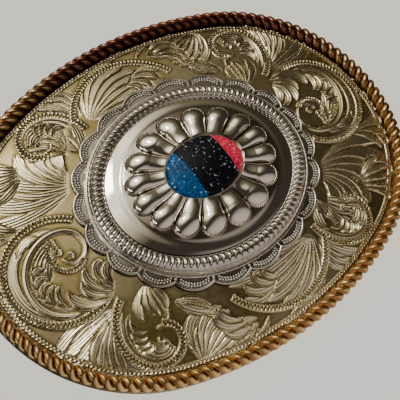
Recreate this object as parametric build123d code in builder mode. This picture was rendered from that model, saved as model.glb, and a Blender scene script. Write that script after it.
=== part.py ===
from build123d import *
import math
import os

# Western oval belt buckle: a closed hollow plate with a twisted rope edge, a layered concho with a
# three-colour stone, and a swinging belt bail and a fixed hook on its back.
# X runs along the oval, +Z is up as worn, and the decorated front faces -Y.
# The origin is the middle of the flat back, and a height is a distance in front of that back.

# Oval
half_length = 51.0
half_height = 38.1
side_radius = 80.8

# Plates
plate_inset = 0.4
back_thickness = 0.9
rim_thickness = 1.0
sheet = 0.9
dome_rise = 3.0
flange_width = 4.0

# Rope edge
rope_diameter = 3.0
rope_flat = 0.25
shelf_thickness = 0.6

# Concho
border_width = 3.2
border_sheet = 0.6
scallop_count = 20
scallop_depth = 1.3
ring_half_length = 24.9
ring_half_height = 20.6
ring_width = 3.7
ring_height = 1.5
rosette_edge = 0.3
dish_rise = 2.95
petal_dome_rise = 3.8
rosette_sheet = 0.8
petal_count = 16
petal_tip_radius = 2.5
petal_gap_across = 4.0
petal_gap_up = 2.7
petal_proud = 1.2

# Stone and its cup
stone_half_length = 8.8
stone_half_height = 6.5
stone_sink = 1.5
stone_edge = 0.9
stone_rise = 1.4
blue_right = -3.7
red_left = 5.2
cup_wall = 0.4
cup_floor = 0.5
cup_lip = 0.5

# Concho post and its screw
screw_radius = 1.6
screw_clearance = 0.05
post_wall = 1.0
post_clearance = 0.25
screw_end_gap = 1.2
screw_head_radius = 3.8
screw_head_height = 1.1
screw_head_round = 0.66
slot_width = 0.9
slot_depth = 0.55

# Bail and its hinge
strap_width = 38.0
strap_clearance = 1.0
bail_radius = 1.6
bail_reach = 15.0
bail_corner = 5.0
bail_elbow = 3.0
bail_grip = 8.0
hinge_across = 26.0
hinge_clearance = 0.05
tube_wall = 0.95
tube_end_gap = 0.6
saddle_thickness = 0.6
saddle_seat = 0.5
saddle_half_width = 3.4

# Hook
hook_across = -32.0
hook_radius = 2.0
hook_length = 7.2
hook_lean = 18.0
hook_tip_fillet = 1.3
shoulder_radius = 2.9
shoulder_height = 1.4
pad_radius = 4.6
pad_thickness = 0.8
pad_chamfer = 0.3

front = Plane.XZ
back = -front
end_radius = (2 * side_radius * half_height - half_length**2 - half_height**2) / (
    2 * (side_radius - half_length)
)
plate_half_length = half_length - plate_inset
plate_half_height = half_height - plate_inset
rim_height = back_thickness + rim_thickness
dome_apex = rim_height + dome_rise
deep = 60.0  # an extrusion this long passes every front
block_margin = 1.05  # a dome block reaches a little past what it cuts


def oval_outline(inset):
    """The buckle's four-arc oval, drawn inward by inset. It goes inside a BuildLine."""
    end_centre = half_length - end_radius
    side_centre = half_height - side_radius
    join = math.degrees(math.atan2(-side_centre, end_centre))
    CenterArc((end_centre, 0), end_radius - inset, -join, 2 * join)
    CenterArc((0, side_centre), side_radius - inset, join, 180 - 2 * join)
    CenterArc((-end_centre, 0), end_radius - inset, 180 - join, 2 * join)
    CenterArc((0, -side_centre), side_radius - inset, 180 + join, 180 - 2 * join)


def bulge(half, rise):
    """The radius of an arc that rises this much over this half width."""
    return (half**2 + rise**2) / (2 * rise)


def dome_block(apex, half_x, half_z, rise, grow=0.0):
    """A block whose front is a doubly curved dome with its top at apex, made thicker by grow."""
    radius_x = bulge(half_x, rise)
    radius_z = bulge(half_z, rise)
    half = half_x * block_margin
    arc = radius_x + grow
    drop = arc - math.sqrt(arc**2 - half**2)
    top = radius_z + grow
    floor = top - drop - apex
    swing = math.degrees(math.asin(half_z * block_margin / radius_z))
    axis_point = (0, radius_z - apex, 0)
    start = Plane(axis_point, x_dir=(1, 0, 0), z_dir=(0, 0, -1)).rotated((-swing, 0, 0))
    with BuildPart() as dome:
        with BuildSketch(start):
            with BuildLine():
                ThreePointArc((-half, top - drop), (0, top), (half, top - drop))
                Polyline((half, top - drop), (half, floor), (-half, floor), (-half, top - drop))
            make_face()
        revolve(axis=Axis(axis_point, (1, 0, 0)), revolution_arc=2 * swing)
    return dome.part


def save(piece, name):
    """Labels a finished piece and writes it as a STEP file."""
    piece.part.label = name
    export_step(piece.part, f"parts/{name}.step")


os.makedirs("parts", exist_ok=True)

plate_dome = (dome_apex, plate_half_length, plate_half_height, dome_rise)
plate_top = dome_block(*plate_dome)
plate_under = dome_block(*plate_dome, grow=-sheet)
border_top = dome_block(*plate_dome, grow=border_sheet)
ring_top = dome_block(*plate_dome, grow=border_sheet + ring_height)

post_radius = screw_radius + screw_clearance + post_wall
post_hole = post_radius + post_clearance

# Flat sheet that closes the back
with BuildPart() as back_plate:
    with BuildSketch(front):
        with BuildLine():
            oval_outline(plate_inset)
        make_face()
        Circle(screw_radius + screw_clearance, mode=Mode.SUBTRACT)
    extrude(amount=back_thickness)
save(back_plate, "back_plate")

# Domed sheet with a flat flange that sits on the back plate and a narrow shelf for the rope
shelf_height = back_thickness + shelf_thickness
with BuildPart() as hollow:
    with BuildSketch(front):
        with BuildLine():
            oval_outline(plate_inset + flange_width)
        make_face()
    extrude(amount=deep)
    add(plate_under, mode=Mode.INTERSECT)

with BuildPart() as face_plate:
    with BuildSketch(front.offset(back_thickness)):
        with BuildLine():
            oval_outline(plate_inset)
        make_face()
    extrude(amount=deep)
    add(plate_top, mode=Mode.INTERSECT)
    add(hollow.part, mode=Mode.SUBTRACT)
    with BuildSketch(front.offset(shelf_height)):
        with BuildLine():
            oval_outline(plate_inset)
        make_face()
        with BuildLine():
            oval_outline(rope_diameter)
        make_face(mode=Mode.SUBTRACT)
    extrude(amount=deep, mode=Mode.SUBTRACT)
    with BuildSketch(front):
        Circle(post_hole)
    extrude(amount=deep, mode=Mode.SUBTRACT)
save(face_plate, "face_plate")

# Envelope of the two twisted strands, with a flat underside that sits on the shelf
rope_radius = rope_diameter / 2
rope_height = shelf_height + rope_radius - rope_flat
with BuildPart() as rope_edge:
    with BuildLine(front.offset(rope_height)) as rope_path:
        oval_outline(rope_radius)
    with BuildSketch(Plane(rope_path.line @ 0, x_dir=(0, 1, 0), z_dir=rope_path.line % 0)):
        Circle(rope_radius)
        with Locations((rope_radius - rope_flat / 2, 0)):
            Rectangle(rope_flat, rope_diameter, mode=Mode.SUBTRACT)
    sweep(path=rope_path.line)
save(rope_edge, "rope_edge")

# Scalloped border, one thin sheet that follows the dome
border_half_length = ring_half_length + border_width
border_half_height = ring_half_height + border_width
with BuildPart() as concho_border:
    with BuildSketch(front):
        with BuildLine():
            for number in range(scallop_count):
                points = []
                for part_way, depth in ((0, scallop_depth), (0.5, 0), (1, scallop_depth)):
                    turn = math.tau * (number - 0.5 + part_way) / scallop_count
                    points.append(
                        (
                            (border_half_length - depth) * math.cos(turn),
                            (border_half_height - depth) * math.sin(turn),
                        )
                    )
                ThreePointArc(*points)
        make_face()
        Circle(post_hole, mode=Mode.SUBTRACT)
    extrude(amount=deep)
    add(border_top, mode=Mode.INTERSECT)
    add(plate_top, mode=Mode.SUBTRACT)
save(concho_border, "concho_border")

# Raised gadroon ring
with BuildPart() as concho_ring:
    with BuildSketch(front):
        Ellipse(ring_half_length, ring_half_height)
        Ellipse(ring_half_length - ring_width, ring_half_height - ring_width, mode=Mode.SUBTRACT)
    extrude(amount=deep)
    add(ring_top, mode=Mode.INTERSECT)
    add(border_top, mode=Mode.SUBTRACT)
save(concho_ring, "concho_ring")

# Petalled rosette: a domed dish that fills the ring and stands on the border sheet with its rim, with a
# steeper dome of petals in its middle and a mouth for the stone cup
rosette_half_length = ring_half_length - ring_width
rosette_half_height = ring_half_height - ring_width
dish_edge = dome_apex + border_sheet + rosette_edge
dish_dome = (dish_edge + dish_rise, rosette_half_length, rosette_half_height, dish_rise)
dish_top = dome_block(*dish_dome)
dish_under = dome_block(*dish_dome, grow=-rosette_sheet)
petal_half_length = rosette_half_length - petal_gap_across
petal_half_height = rosette_half_height - petal_gap_up
rosette_apex = dish_edge + petal_dome_rise
petal_dome = (rosette_apex, petal_half_length, petal_half_height, petal_dome_rise)
petal_under = dome_block(*petal_dome, grow=-rosette_sheet)
radius_across = bulge(petal_half_length, petal_dome_rise)
radius_up = bulge(petal_half_height, petal_dome_rise)
with BuildPart() as petal_top:
    with BuildSketch(front):
        Ellipse(petal_half_length, petal_half_height)
    extrude(amount=deep)
    add(dome_block(*petal_dome), mode=Mode.INTERSECT)
hollows = []
for under in (dish_under, petal_under):
    with BuildPart() as hollow:
        with BuildSketch(front):
            Ellipse(rosette_half_length - rosette_sheet, rosette_half_height - rosette_sheet)
        extrude(amount=deep)
        add(under, mode=Mode.INTERSECT)
    hollows.append(hollow.part)
cup_half_length = stone_half_length + cup_wall
cup_half_height = stone_half_height + cup_wall
petal_ring_half_length = petal_half_length - petal_tip_radius
petal_ring_half_height = petal_half_height - petal_tip_radius
with BuildPart() as concho_rosette:
    with BuildSketch(front):
        Ellipse(rosette_half_length, rosette_half_height)
    extrude(amount=deep)
    add(dish_top, mode=Mode.INTERSECT)
    add(petal_top.part)
    for number in range(petal_count):
        turn = math.tau * number / petal_count
        across = petal_ring_half_length * math.cos(turn)
        up = petal_ring_half_height * math.sin(turn)
        drop_across = radius_across - math.sqrt(radius_across**2 - across**2)
        drop_up = radius_up - math.sqrt(radius_up**2 - up**2)
        height = rosette_apex - drop_across - drop_up + petal_proud - petal_tip_radius
        with Locations((across, -height, up)):
            Sphere(petal_tip_radius)
    add(hollows, mode=Mode.SUBTRACT)
    add(border_top, mode=Mode.SUBTRACT)
    with BuildSketch(front):
        Ellipse(cup_half_length, cup_half_height)
    extrude(amount=deep, mode=Mode.SUBTRACT)
save(concho_rosette, "concho_rosette")

# Cup that holds the stone
stone_base = rosette_apex - stone_sink
cup_base = stone_base - cup_floor
with BuildPart() as stone_cup:
    with BuildSketch(front.offset(cup_base)):
        Ellipse(cup_half_length, cup_half_height)
    extrude(amount=cup_floor + cup_lip)
    with BuildSketch(front.offset(stone_base)):
        Ellipse(stone_half_length, stone_half_height)
    extrude(amount=cup_lip, mode=Mode.SUBTRACT)
save(stone_cup, "stone_cup")

# Three-colour stone, cut by two upright lines
stone_apex = stone_base + stone_edge + stone_rise
stone_top = dome_block(stone_apex, stone_half_length, stone_half_height, stone_rise)
stone_cuts = {
    "inlay_blue": (-stone_half_length, blue_right),
    "inlay_black": (blue_right, red_left),
    "inlay_red": (red_left, stone_half_length),
}
for name, (left, right) in stone_cuts.items():
    with BuildPart() as inlay:
        with BuildSketch(front.offset(stone_base)):
            Ellipse(stone_half_length, stone_half_height)
            with Locations(((left + right) / 2, 0)):
                Rectangle(right - left, 2 * stone_half_height, mode=Mode.INTERSECT)
        extrude(amount=deep)
        add(stone_top, mode=Mode.INTERSECT)
    save(inlay, name)

# Hollow post under the cup, and the slotted screw that pulls it down from the back
screw_tip = cup_base - screw_end_gap
with BuildPart() as concho_post:
    with BuildSketch(front.offset(back_thickness)):
        Circle(post_radius)
    extrude(amount=cup_base - back_thickness)
    with BuildSketch(front.offset(back_thickness)):
        Circle(screw_radius + screw_clearance)
    extrude(amount=screw_tip - back_thickness + screw_end_gap / 2, mode=Mode.SUBTRACT)
save(concho_post, "concho_post")

with BuildPart() as concho_screw:
    with BuildSketch(back):
        Circle(screw_head_radius)
    extrude(amount=screw_head_height)
    fillet(concho_screw.faces().sort_by(Axis.Y)[-1].edges(), screw_head_round)
    with BuildSketch(front):
        Circle(screw_radius)
    extrude(amount=screw_tip)
    with BuildSketch(back.offset(screw_head_height)):
        Rectangle(2 * screw_head_radius, slot_width)
    extrude(amount=-slot_depth, mode=Mode.SUBTRACT)
save(concho_screw, "concho_screw")

# Hinge tube on its saddle
tube_radius = bail_radius + hinge_clearance + tube_wall
hinge_depth = saddle_thickness + tube_radius
leg_half_gap = (strap_width + strap_clearance) / 2 + bail_radius
tube_half_length = leg_half_gap - bail_elbow - tube_end_gap
tube_middle = Plane((hinge_across, hinge_depth, -tube_half_length), x_dir=(1, 0, 0), z_dir=(0, 0, 1))
with BuildPart() as hinge_tube:
    with BuildSketch(tube_middle):
        Circle(tube_radius)
        Circle(bail_radius + hinge_clearance, mode=Mode.SUBTRACT)
    extrude(amount=2 * tube_half_length)
save(hinge_tube, "hinge_tube")

with BuildPart() as hinge_saddle:
    with BuildSketch(tube_middle):
        with BuildLine():
            Polyline(
                (-saddle_half_width, -hinge_depth),
                (saddle_half_width, -hinge_depth),
                (saddle_half_width, saddle_thickness - hinge_depth),
                (tube_radius, saddle_thickness + saddle_seat - hinge_depth),
                (-tube_radius, saddle_thickness + saddle_seat - hinge_depth),
                (-saddle_half_width, saddle_thickness - hinge_depth),
                close=True,
            )
        make_face()
        Circle(tube_radius, mode=Mode.SUBTRACT)
    extrude(amount=2 * tube_half_length)
save(hinge_saddle, "hinge_saddle")

# Belt bail: one bent wire whose two ends turn into the tube
bail_plane = Plane((hinge_across, hinge_depth, 0), x_dir=(1, 0, 0), z_dir=(0, -1, 0))
bail_end = tube_half_length - bail_grip
with BuildPart() as bail:
    with BuildLine(bail_plane) as bail_path:
        FilletPolyline(
            (0, -bail_end),
            (0, -leg_half_gap),
            (bail_reach, -leg_half_gap),
            (bail_reach, leg_half_gap),
            (0, leg_half_gap),
            (0, bail_end),
            radius=[bail_elbow, bail_corner, bail_corner, bail_elbow],
        )
    with BuildSketch(Plane(bail_path.line @ 0, z_dir=bail_path.line % 0)):
        Circle(bail_radius)
    sweep(path=bail_path.line)
save(bail, "bail")

# Hook: a leaning round peg on a soldered pad
with BuildPart() as hook_pad:
    with BuildSketch(back):
        with Locations((hook_across, 0)):
            Circle(pad_radius)
    extrude(amount=pad_thickness)
    chamfer(hook_pad.faces().sort_by(Axis.Y)[-1].edges(), pad_chamfer)
save(hook_pad, "hook_pad")

lean = math.radians(hook_lean)
hook_plane = Plane((hook_across, pad_thickness, 0), z_dir=(math.sin(lean), math.cos(lean), 0))
with BuildPart() as hook_post:
    with BuildSketch(hook_plane.offset(-shoulder_radius)):
        Circle(shoulder_radius)
    extrude(amount=shoulder_radius + shoulder_height)
    with BuildSketch(hook_plane.offset(shoulder_height)):
        Circle(hook_radius)
    extrude(amount=hook_length - shoulder_height)
    fillet(hook_post.faces().sort_by(Axis.Y)[-1].edges(), hook_tip_fillet)
    split(bisect_by=Plane((0, pad_thickness, 0), z_dir=(0, 1, 0)), keep=Keep.TOP)
save(hook_post, "hook_post")
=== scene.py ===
# Oval belt buckle with a twisted rope edge, an engraved dome, a layered concho and a three-colour stone.
# Shapes are worked out in millimetres as (across, up, height), where height is the distance in front of
# the flat back, and land in the frame at (across, -height, up).
import math

import bpy
import numpy as np
from mathutils import Matrix, Vector


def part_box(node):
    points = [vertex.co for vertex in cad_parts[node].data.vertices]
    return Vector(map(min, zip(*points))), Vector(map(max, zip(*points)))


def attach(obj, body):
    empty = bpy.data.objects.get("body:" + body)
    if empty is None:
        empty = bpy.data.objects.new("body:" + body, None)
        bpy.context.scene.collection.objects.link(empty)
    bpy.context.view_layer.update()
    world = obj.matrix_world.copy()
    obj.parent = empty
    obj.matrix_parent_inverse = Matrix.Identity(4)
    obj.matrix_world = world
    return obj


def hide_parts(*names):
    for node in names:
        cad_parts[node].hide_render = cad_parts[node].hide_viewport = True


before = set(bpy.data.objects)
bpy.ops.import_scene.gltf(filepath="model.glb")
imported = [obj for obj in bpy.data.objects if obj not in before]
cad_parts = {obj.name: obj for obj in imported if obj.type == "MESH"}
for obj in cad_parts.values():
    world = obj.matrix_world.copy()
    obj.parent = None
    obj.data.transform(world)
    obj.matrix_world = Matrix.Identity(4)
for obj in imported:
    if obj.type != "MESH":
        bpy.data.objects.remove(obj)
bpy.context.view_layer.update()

mm = 0.001
tau = math.tau


def sides(node):
    # lowest and highest corner of a node, in millimetres
    low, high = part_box(node)
    return np.array(low) / mm, np.array(high) / mm


ropeLow, ropeHigh = sides("rope_edge")
borderHigh = sides("concho_border")[1]
ringHigh = sides("concho_ring")[1]
rosetteHigh = sides("concho_rosette")[1]
cupHigh = sides("stone_cup")[1]
stoneHigh = sides("inlay_black")[1]
blueLow = sides("inlay_blue")[0]
print("frame loaded:", len(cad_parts), "nodes")

oval = {"halfLength": ropeHigh[0], "halfHeight": ropeHigh[2], "sideRadius": 80.8, "plateInset": 0.4}
oval["endRadius"] = (
    2 * oval["sideRadius"] * oval["halfHeight"] - oval["halfLength"] ** 2 - oval["halfHeight"] ** 2
) / (2 * (oval["sideRadius"] - oval["halfLength"]))
plateDome = {
    "apex": 4.9,
    "halfX": oval["halfLength"] - oval["plateInset"],
    "halfZ": oval["halfHeight"] - oval["plateInset"],
    "rise": 3.0,
}


def ovalReach(turn, inset):
    # distance from the middle to the inset four-arc oval along angle turn, by hitting the end arc, or the
    # side arc where the end arc's hit lies past the join:  centre * cos + sqrt(radius^2 - (centre * sin)^2)
    endCentre = oval["halfLength"] - oval["endRadius"]
    sideCentre = oval["sideRadius"] - oval["halfHeight"]
    join = math.atan2(sideCentre, endCentre)
    cosine, sine = np.abs(np.cos(turn)), np.abs(np.sin(turn))
    endHit = endCentre * cosine + np.sqrt((oval["endRadius"] - inset) ** 2 - (endCentre * sine) ** 2)
    sideHit = np.sqrt((oval["sideRadius"] - inset) ** 2 - (sideCentre * cosine) ** 2) - sideCentre * sine
    facing = np.arctan2(endHit * sine, endHit * cosine - endCentre)
    return np.where(facing < join, endHit, sideHit)


def domeHeight(x, z, dome, grow=0.0):
    # two arcs crossed:  sqrt(r(x)^2 - z^2) + apex - Rz,  r(x) = Rz - Rx + sqrt((Rx + grow)^2 - x^2)
    radiusX = (dome["halfX"] ** 2 + dome["rise"] ** 2) / (2 * dome["rise"])
    radiusZ = (dome["halfZ"] ** 2 + dome["rise"] ** 2) / (2 * dome["rise"])
    across = radiusZ - radiusX + np.sqrt((radiusX + grow) ** 2 - np.square(x))
    return np.sqrt(across**2 - np.square(z)) + dome["apex"] - radiusZ


def smooth(low, high, value):
    # 0 below low, 1 above high, an S between
    t = np.clip((value - low) / (high - low), 0, 1)
    return t * t * (3 - 2 * t)


def gridPiece(name, x, z, height, material, slot, body="buckle", stands=(), wrapU=True, wrapV=True, uv=None,
              tone=None, capEnds=False, flip=False, sharp=35):
    # vertex (i, j) is at (x, -height, z); quads join neighbours and run round a wrapped seam, and capEnds
    # closes the first and last row with one face each
    rows, columns = x.shape
    index = np.arange(rows * columns).reshape(rows, columns)
    nextU = np.roll(index, -1, 0) if wrapU else index[1:]
    here = index if wrapU else index[:-1]
    if wrapV:
        corners = (here, nextU, np.roll(nextU, -1, 1), np.roll(here, -1, 1))
    else:
        corners = (here[:, :-1], nextU[:, :-1], nextU[:, 1:], here[:, 1:])
    quads = np.stack(corners, -1).reshape(-1, 4)
    if flip:
        quads = quads[:, ::-1]
    loops = quads.ravel()
    starts = np.arange(len(quads)) * 4
    if capEnds:
        first, last = index[0], index[-1][::-1]
        if flip:
            first, last = first[::-1], last[::-1]
        starts = np.append(starts, [len(loops), len(loops) + columns])
        loops = np.concatenate([loops, first, last])
    mesh = bpy.data.meshes.new(name)
    mesh.vertices.add(rows * columns)
    points = np.stack([x, -height, z], -1).reshape(-1, 3) * mm
    mesh.vertices.foreach_set("co", points.astype(np.float32).ravel())
    mesh.loops.add(len(loops))
    mesh.loops.foreach_set("vertex_index", loops.astype(np.int32))
    mesh.polygons.add(len(starts))
    mesh.polygons.foreach_set("loop_start", starts.astype(np.int32))
    mesh.update(calc_edges=True)
    if uv is not None:
        layer = mesh.uv_layers.new(name="cut")
        layer.data.foreach_set("uv", uv.reshape(-1, 2)[loops].astype(np.float32).ravel())
    if tone is not None:
        layer = mesh.attributes.new("tone", "FLOAT", "POINT")
        layer.data.foreach_set("value", tone.astype(np.float32).ravel())
    mesh.shade_smooth()
    mesh.set_sharp_from_angle(angle=math.radians(sharp))
    piece = bpy.data.objects.new(name, mesh)
    bpy.context.scene.collection.objects.link(piece)
    mesh.materials.append(material)
    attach(piece, body)
    if stands:
        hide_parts(*stands)
    print("  piece", name, len(mesh.polygons), "faces")
    return piece


def ringPiece(name, turns, radii, heights, material, slot, **more):
    # a closed section carried round the middle: column j of radii and heights is the section's point j
    x = radii * np.cos(turns)[:, None]
    z = radii * np.sin(turns)[:, None]
    return gridPiece(name, x, z, heights, material, slot, **more)


def tubePiece(name, path, outward, radius, around, material, slot, **more):
    # a circle carried along a closed path of (across, up, height) points:  point + radius * (cos a side +
    # sin a other), where side is square to the way ahead and to outward, and other to the way ahead and side
    ahead = np.roll(path, -1, 0) - np.roll(path, 1, 0)
    ahead /= np.linalg.norm(ahead, axis=1)[:, None]
    side = np.cross(ahead, outward)
    side /= np.linalg.norm(side, axis=1)[:, None]
    other = np.cross(side, ahead)
    angle = np.linspace(0, tau, around, endpoint=False)[:, None]
    points = path[:, None] + radius * (np.cos(angle) * side[:, None] + np.sin(angle) * other[:, None])
    return gridPiece(name, points[..., 0], points[..., 1], points[..., 2], material, slot, **more)


def withBack(values):
    # the last and the first column once more, for a piece's back
    return np.concatenate([values, values[:, [-1, 0]]], 1)


# materials
def wornAndShadedMetal(name, look):
    # metal whose colour runs from bright to dark by broad noise, which is tarnish, plus the piece's tone,
    # which is painted shade (on the face plate also tarnish); its roughness is low + (high - low) * fine
    # noise + that darkening, and its bump is stretched hairline scratches; a painted-shade gradient darkens
    # the colour along one direction and a hatch cuts lines of one pitch across each leaf
    material = bpy.data.materials.new(name)
    material.use_nodes = True
    nodes, link = material.node_tree.nodes, material.node_tree.links.new
    shader = nodes["Principled BSDF"]
    shader.inputs["Metallic"].default_value = 1.0
    where = nodes.new("ShaderNodeTexCoord").outputs["Object"]

    def noise(scale, detail=3.0, stretch=None):
        source = where
        if stretch:
            mapping = nodes.new("ShaderNodeMapping")
            mapping.inputs["Scale"].default_value = stretch
            link(source, mapping.inputs["Vector"])
            source = mapping.outputs["Vector"]
        node = nodes.new("ShaderNodeTexNoise")
        node.inputs["Scale"].default_value = scale
        node.inputs["Detail"].default_value = detail
        link(source, node.inputs["Vector"])
        return node.outputs["Fac"]

    def ranged(value, low, high, fromLow=0.35, fromHigh=0.65):
        node = nodes.new("ShaderNodeMapRange")
        ends = {"From Min": fromLow, "From Max": fromHigh, "To Min": low, "To Max": high}
        for key, number in ends.items():
            node.inputs[key].default_value = number
        link(value, node.inputs["Value"])
        return node.outputs["Result"]

    def maths(operation, first, second):
        node = nodes.new("ShaderNodeMath")
        node.operation = operation
        for socket, value in zip(node.inputs, (first, second)):
            if isinstance(value, (int, float)):
                socket.default_value = value
            else:
                link(value, socket)
        return node.outputs["Value"]

    def mixed(factor, first, second):
        node = nodes.new("ShaderNodeMix")
        node.data_type = "RGBA"
        link(factor, node.inputs["Factor"])
        for socket, value in ((node.inputs["A"], first), (node.inputs["B"], second)):
            if isinstance(value, tuple):
                socket.default_value = (*value, 1.0)
            else:
                link(value, socket)
        return node.outputs["Result"]

    tarnishAndShade = ranged(noise(look["patchScale"], 4.0), 0.0, look["patchAmount"])
    # the piece's tone adds painted shade to the noise tarnish
    if "tone" in look:
        attribute = nodes.new("ShaderNodeAttribute")
        attribute.attribute_name = "tone"
        tarnishAndShade = maths("ADD", maths("MULTIPLY", attribute.outputs["Fac"], look["tone"]), tarnishAndShade)
        clamp = nodes.new("ShaderNodeClamp")
        link(tarnishAndShade, clamp.inputs["Value"])
        tarnishAndShade = clamp.outputs["Result"]
    colour = mixed(tarnishAndShade, look["bright"], look["tarnishAndShade"])
    # painted shade: the colour darkens along one direction
    if "gradient" in look:
        lean = nodes.new("ShaderNodeVectorMath")
        lean.operation = "DOT_PRODUCT"
        lean.inputs[1].default_value = look["gradient"]["along"]
        link(where, lean.inputs[0])
        wander = maths("MULTIPLY", noise(look["patchScale"], 2.0), look["gradient"]["wander"])
        share = ranged(maths("ADD", lean.outputs["Value"], wander), 0.0, 1.0, *look["gradient"]["span"])
        colour = mixed(share, colour, look["gradient"]["colour"])
    link(colour, shader.inputs["Base Color"])
    lines = noise(look["scratchScale"], 2.0, look["scratchStretch"])
    fine = noise(look["fineScale"], 3.0)
    rough = maths("ADD", ranged(fine, *look["rough"]), maths("MULTIPLY", tarnishAndShade, look["dullRough"]))
    link(rough, shader.inputs["Roughness"])
    if "hatch" in look:
        cut = nodes.new("ShaderNodeUVMap")
        cut.uv_map = "cut"
        split = nodes.new("ShaderNodeSeparateXYZ")
        link(cut.outputs["UV"], split.inputs["Vector"])
        wave = maths("SINE", maths("MULTIPLY", split.outputs["X"], tau / look["hatch"]["pitch"]), 0)
        wave = maths("MULTIPLY", wave, split.outputs["Y"])
        lines = maths("ADD", maths("MULTIPLY", wave, look["hatch"]["strength"]), lines)
    bump = nodes.new("ShaderNodeBump")
    bump.inputs["Strength"].default_value = look["bump"]
    bump.inputs["Distance"].default_value = look["bumpDepth"] * mm
    pits = maths("MULTIPLY", fine, 0.3)  # the fine noise dents the metal a little too
    link(maths("ADD", lines, pits), bump.inputs["Height"])
    link(bump.outputs["Normal"], shader.inputs["Normal"])
    return material


nickelSilver = wornAndShadedMetal("nickelSilver", {
    "bright": (0.87, 0.78, 0.55), "tarnishAndShade": (0.23, 0.175, 0.065), "patchScale": 70, "patchAmount": 0.4,
    "rough": (0.13, 0.22), "dullRough": 0.16, "fineScale": 900, "scratchScale": 300,
    "scratchStretch": (1.0, 1.0, 12.0), "bump": 0.5, "bumpDepth": 0.035, "tone": 0.9,
    "hatch": {"pitch": 0.55, "strength": 1.5},
})
conchoSilver = wornAndShadedMetal("conchoSilver", {
    "bright": (0.76, 0.72, 0.66), "tarnishAndShade": (0.10, 0.08, 0.06), "patchScale": 90, "patchAmount": 0.3,
    "rough": (0.09, 0.15), "dullRough": 0.14, "fineScale": 1100, "scratchScale": 260,
    "scratchStretch": (9.0, 1.0, 1.0), "bump": 0.12, "bumpDepth": 0.02, "tone": 1.0,
})
rosetteSilver = wornAndShadedMetal("rosetteSilver", {
    "bright": (0.88, 0.84, 0.76), "tarnishAndShade": (0.17, 0.13, 0.09), "patchScale": 60, "patchAmount": 0.15,
    "rough": (0.055, 0.10), "dullRough": 0.15, "fineScale": 900, "scratchScale": 200,
    "scratchStretch": (7.0, 1.0, 1.0), "bump": 0.07, "bumpDepth": 0.02, "tone": 0.8,
})
ropeBronze = wornAndShadedMetal("ropeBronze", {
    "bright": (1.0, 0.76, 0.36), "tarnishAndShade": (0.36, 0.19, 0.07), "patchScale": 120, "patchAmount": 0.35,
    "rough": (0.13, 0.24), "dullRough": 0.15, "fineScale": 1200, "scratchScale": 500,
    "scratchStretch": (1.0, 1.0, 4.0), "bump": 0.25, "bumpDepth": 0.03, "tone": 0.9,
    # painted shade: the rope turns dark red-brown toward its top
    "gradient": {"along": (0.35, 0.0, 0.94), "wander": 0.012, "span": (0.018, 0.040),
                 "colour": (0.22, 0.085, 0.055)},
})
backBrass = wornAndShadedMetal("backBrass", {
    "bright": (0.80, 0.60, 0.32), "tarnishAndShade": (0.42, 0.27, 0.12), "patchScale": 45, "patchAmount": 0.8,
    "rough": (0.28, 0.44), "dullRough": 0.15, "fineScale": 700, "scratchScale": 160,
    "scratchStretch": (1.0, 1.0, 30.0), "bump": 0.35, "bumpDepth": 0.03,
})
hardwareNickel = wornAndShadedMetal("hardwareNickel", {
    "bright": (0.72, 0.69, 0.64), "tarnishAndShade": (0.36, 0.31, 0.25), "patchScale": 90, "patchAmount": 0.6,
    "rough": (0.22, 0.36), "dullRough": 0.2, "fineScale": 900, "scratchScale": 300,
    "scratchStretch": (14.0, 1.0, 1.0), "bump": 0.3, "bumpDepth": 0.03,
})
bailWire = wornAndShadedMetal("bailWire", {
    "bright": (0.70, 0.67, 0.62), "tarnishAndShade": (0.38, 0.32, 0.26), "patchScale": 110, "patchAmount": 0.5,
    "rough": (0.20, 0.32), "dullRough": 0.2, "fineScale": 1000, "scratchScale": 400,
    "scratchStretch": (1.0, 1.0, 16.0), "bump": 0.3, "bumpDepth": 0.03,
})


def sparklingStone(name, look):
    # crushed grains: each grain's own shade, its tone, runs from deep to bright, the last few carry a
    # painted glint, and every grain gives off a painted glow of its colour
    material = bpy.data.materials.new(name)
    material.use_nodes = True
    nodes, link = material.node_tree.nodes, material.node_tree.links.new
    shader = nodes["Principled BSDF"]
    shader.inputs["Roughness"].default_value = look["rough"]
    shader.inputs["Specular IOR Level"].default_value = look["specular"]
    # painted glow: every grain gives off its own colour, though the stone is no lamp
    shader.inputs["Emission Strength"].default_value = look["glow"]
    tone = nodes.new("ShaderNodeAttribute")
    tone.attribute_name = "tone"
    ramp = nodes.new("ShaderNodeValToRGB")
    ramp.color_ramp.elements[0].color = (*look["deep"], 1)
    # the top of the ramp is a painted glint colour
    ramp.color_ramp.elements[1].position = look["glintFrom"] - look["glintFade"]
    ramp.color_ramp.elements[1].color = (*look["bright"], 1)
    paintedGlint = ramp.color_ramp.elements.new(look["glintFrom"])
    paintedGlint.color = (*look["paintedGlint"], 1)
    link(tone.outputs["Fac"], ramp.inputs["Fac"])
    link(ramp.outputs["Color"], shader.inputs["Base Color"])
    link(ramp.outputs["Color"], shader.inputs["Emission Color"])
    where = nodes.new("ShaderNodeTexCoord").outputs["Object"]
    facets = nodes.new("ShaderNodeTexVoronoi")
    facets.inputs["Scale"].default_value = look["facets"]
    link(where, facets.inputs["Vector"])
    bump = nodes.new("ShaderNodeBump")
    bump.inputs["Strength"].default_value = look["bump"]
    bump.inputs["Distance"].default_value = look["bumpDepth"] * mm
    link(facets.outputs["Distance"], bump.inputs["Height"])
    link(bump.outputs["Normal"], shader.inputs["Normal"])
    return material


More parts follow.
